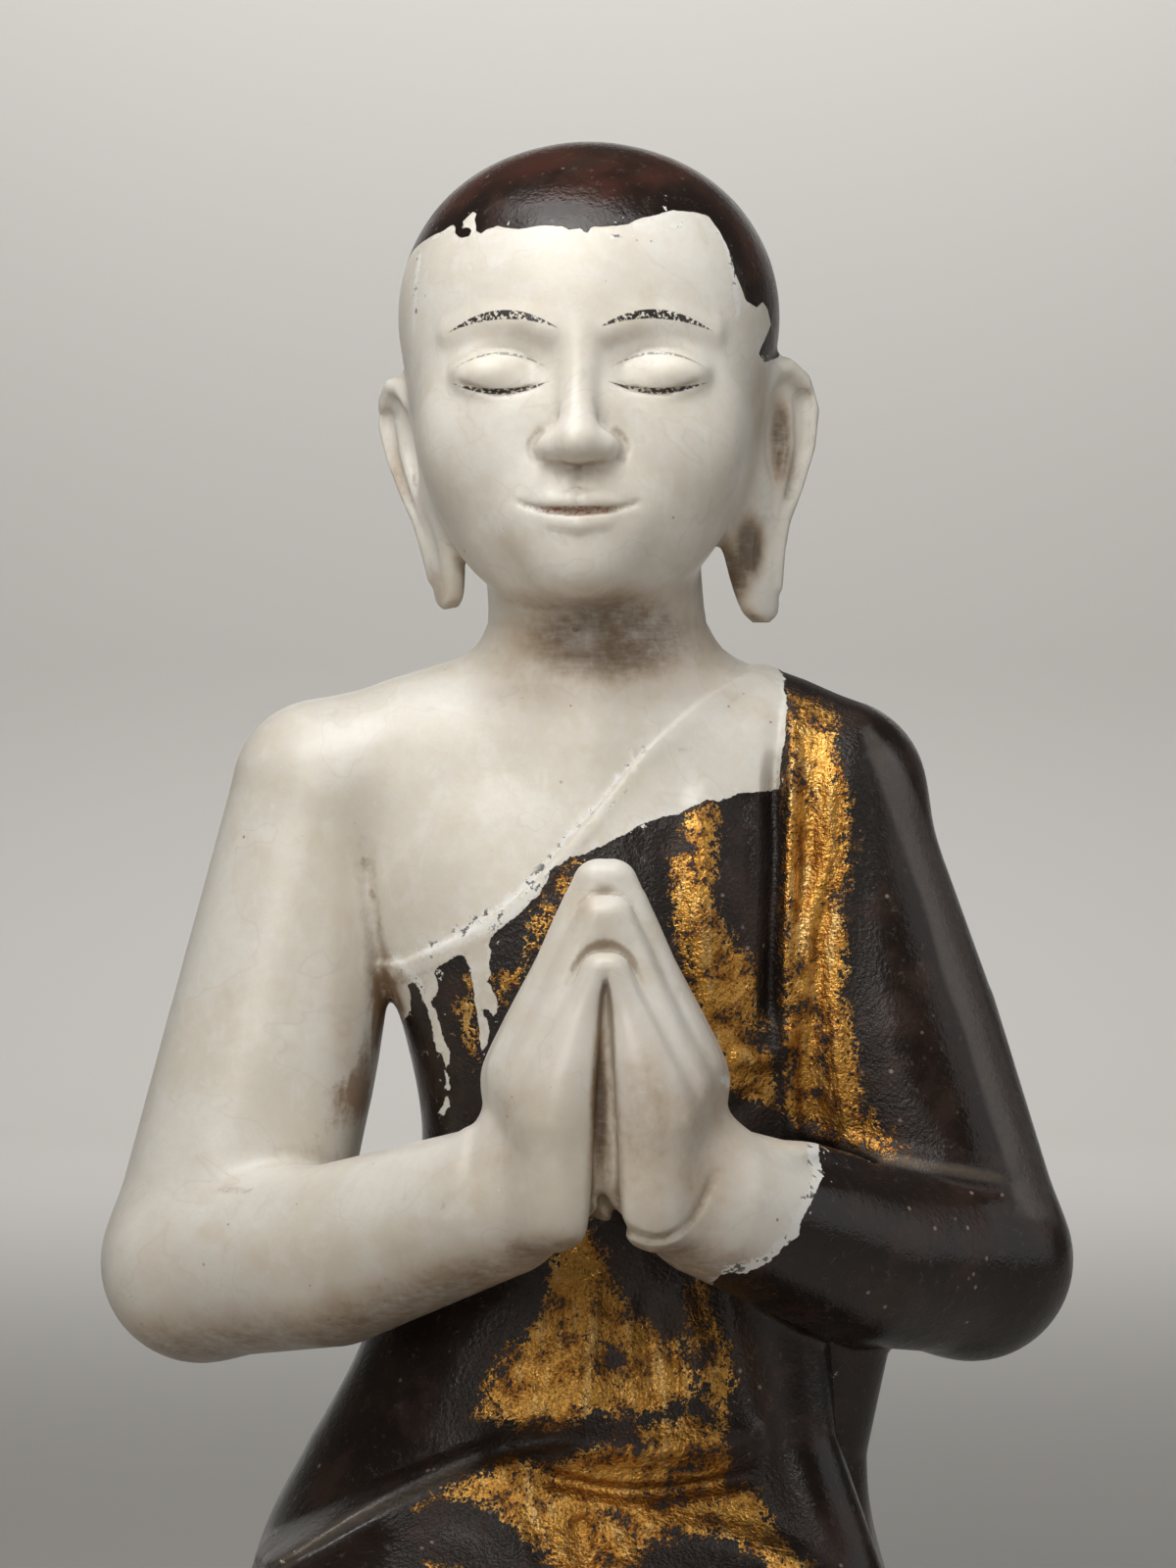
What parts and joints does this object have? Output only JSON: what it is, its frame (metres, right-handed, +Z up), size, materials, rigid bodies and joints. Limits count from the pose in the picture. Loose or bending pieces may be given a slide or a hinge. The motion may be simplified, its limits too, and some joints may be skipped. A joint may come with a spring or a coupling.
{
  "type": "kneeling monk statue",
  "caption": "Marble figure of a kneeling monk with joined hands on a low base, the hair and robe lacquered and gilded.",
  "frame": {"origin": "on the flat underside of the base, below the middle of the neck", "axes": "+Z up; the figure faces -Y and its right side is at -X"},
  "size_m": [0.326, 0.2565, 0.5798],
  "materials": {
    "carved_marble": "polished white marble, its hair and robe coated with dark brown lacquer and worn gold leaf"
  },
  "bodies": {
    "root": {"kneeling_monk": "carved_marble"}
  },
  "joints": []
}
